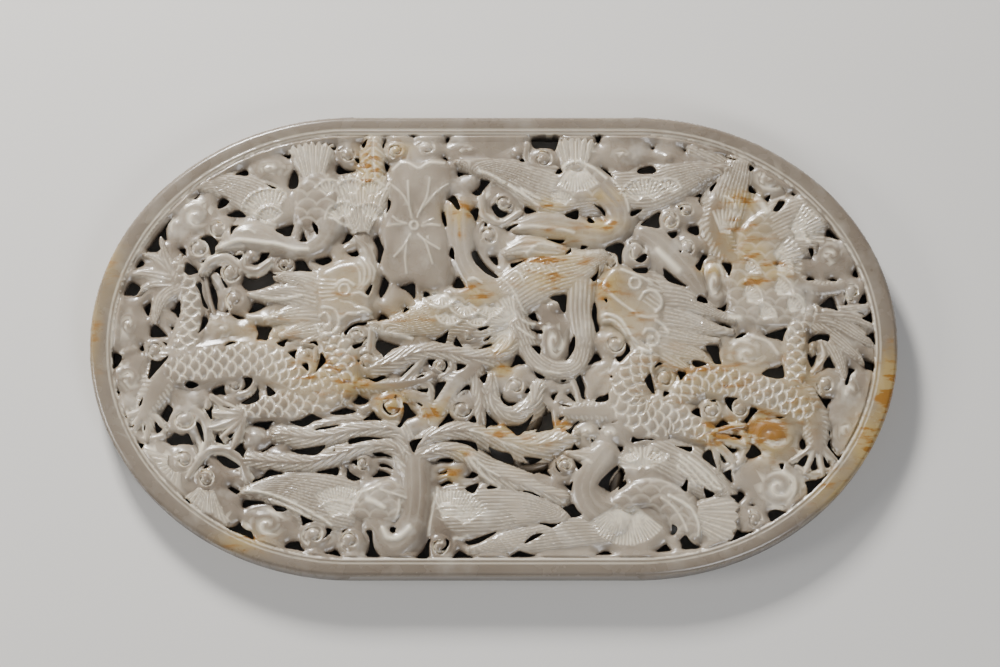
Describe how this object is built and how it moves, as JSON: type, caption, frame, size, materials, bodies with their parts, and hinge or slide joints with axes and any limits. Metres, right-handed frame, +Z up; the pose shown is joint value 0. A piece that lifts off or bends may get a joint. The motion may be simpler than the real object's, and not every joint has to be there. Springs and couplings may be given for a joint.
{
  "type": "jade carving",
  "caption": "Oval openwork jade plaque: a plain rim round a carved field of dragons, birds, a lotus leaf, clouds and curls.",
  "frame": {"origin": "centre of the bounding box, on the flat back face", "axes": "+X along the plaque, +Y across it, +Z up out of the carved face"},
  "size_m": [0.1616, 0.0934, 0.0077],
  "materials": {
    "jade": "polished"
  },
  "bodies": {
    "root": {"jade_plaque": "jade"}
  },
  "joints": []
}
